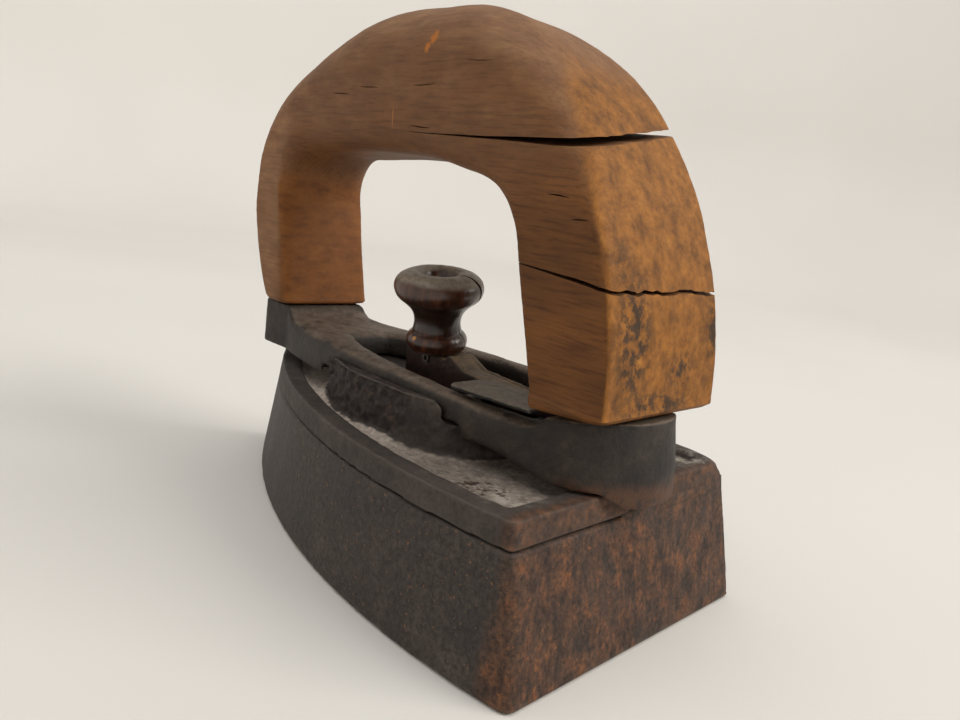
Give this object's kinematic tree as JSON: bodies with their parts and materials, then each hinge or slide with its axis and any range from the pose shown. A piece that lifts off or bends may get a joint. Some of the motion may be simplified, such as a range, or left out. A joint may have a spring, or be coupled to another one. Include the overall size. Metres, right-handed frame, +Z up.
{
  "type": "clothes iron",
  "caption": "Old flat clothes iron: heavy pointed cast-iron base, and a half-moon wooden handle on an iron bridge with a knobbed latch that lifts off the base.",
  "frame": {"origin": "middle of the sole, on the surface that the iron stands on", "axes": "+X to the pointed nose, +Y to the left side, +Z up"},
  "size_m": [0.1515, 0.0882, 0.1348],
  "materials": {
    "base_iron": "dark rusty cast iron",
    "bridge_iron": "dark worn cast iron",
    "lever_iron": "rusty cast iron with dust",
    "spring_steel": "dull grey steel",
    "pin_steel": "dark steel",
    "filler": "dry plaster",
    "grip_wood": "bare hand-worn hardwood",
    "knob_wood": "dark varnished wood"
  },
  "bodies": {
    "iron": {"sole_block": "base_iron", "insulating_filler": "filler", "top_cap": "base_iron", "cap_rivets": "pin_steel", "catch_bar": "pin_steel"},
    "handle": {"handle_bridge": "bridge_iron", "spring_leaf": "spring_steel", "latch_pivot_pin": "pin_steel", "wooden_grip": "grip_wood", "grip_rear_block": "grip_wood", "rear_grip_screw": "pin_steel", "front_grip_screw": "pin_steel", "screw_washers": "pin_steel"},
    "latch": {"latch_lever": "lever_iron", "knob": "knob_wood", "knob_stem": "pin_steel", "knob_stem_pin": "pin_steel"}
  },
  "joints": [
    {"name": "handle_lift", "type": "slide", "parent": "iron", "child": "handle", "axis": [0, 0, 1], "range_m": [0, 0.06]},
    {"name": "latch_press", "type": "hinge", "parent": "handle", "child": "latch", "pos_m": [-0.026, 0, 0.0423], "axis": [0, 1, 0], "range_deg": [0, 7], "stiffness_Nm_per_rad": 0.4, "springref_deg": -11.46}
  ]
}
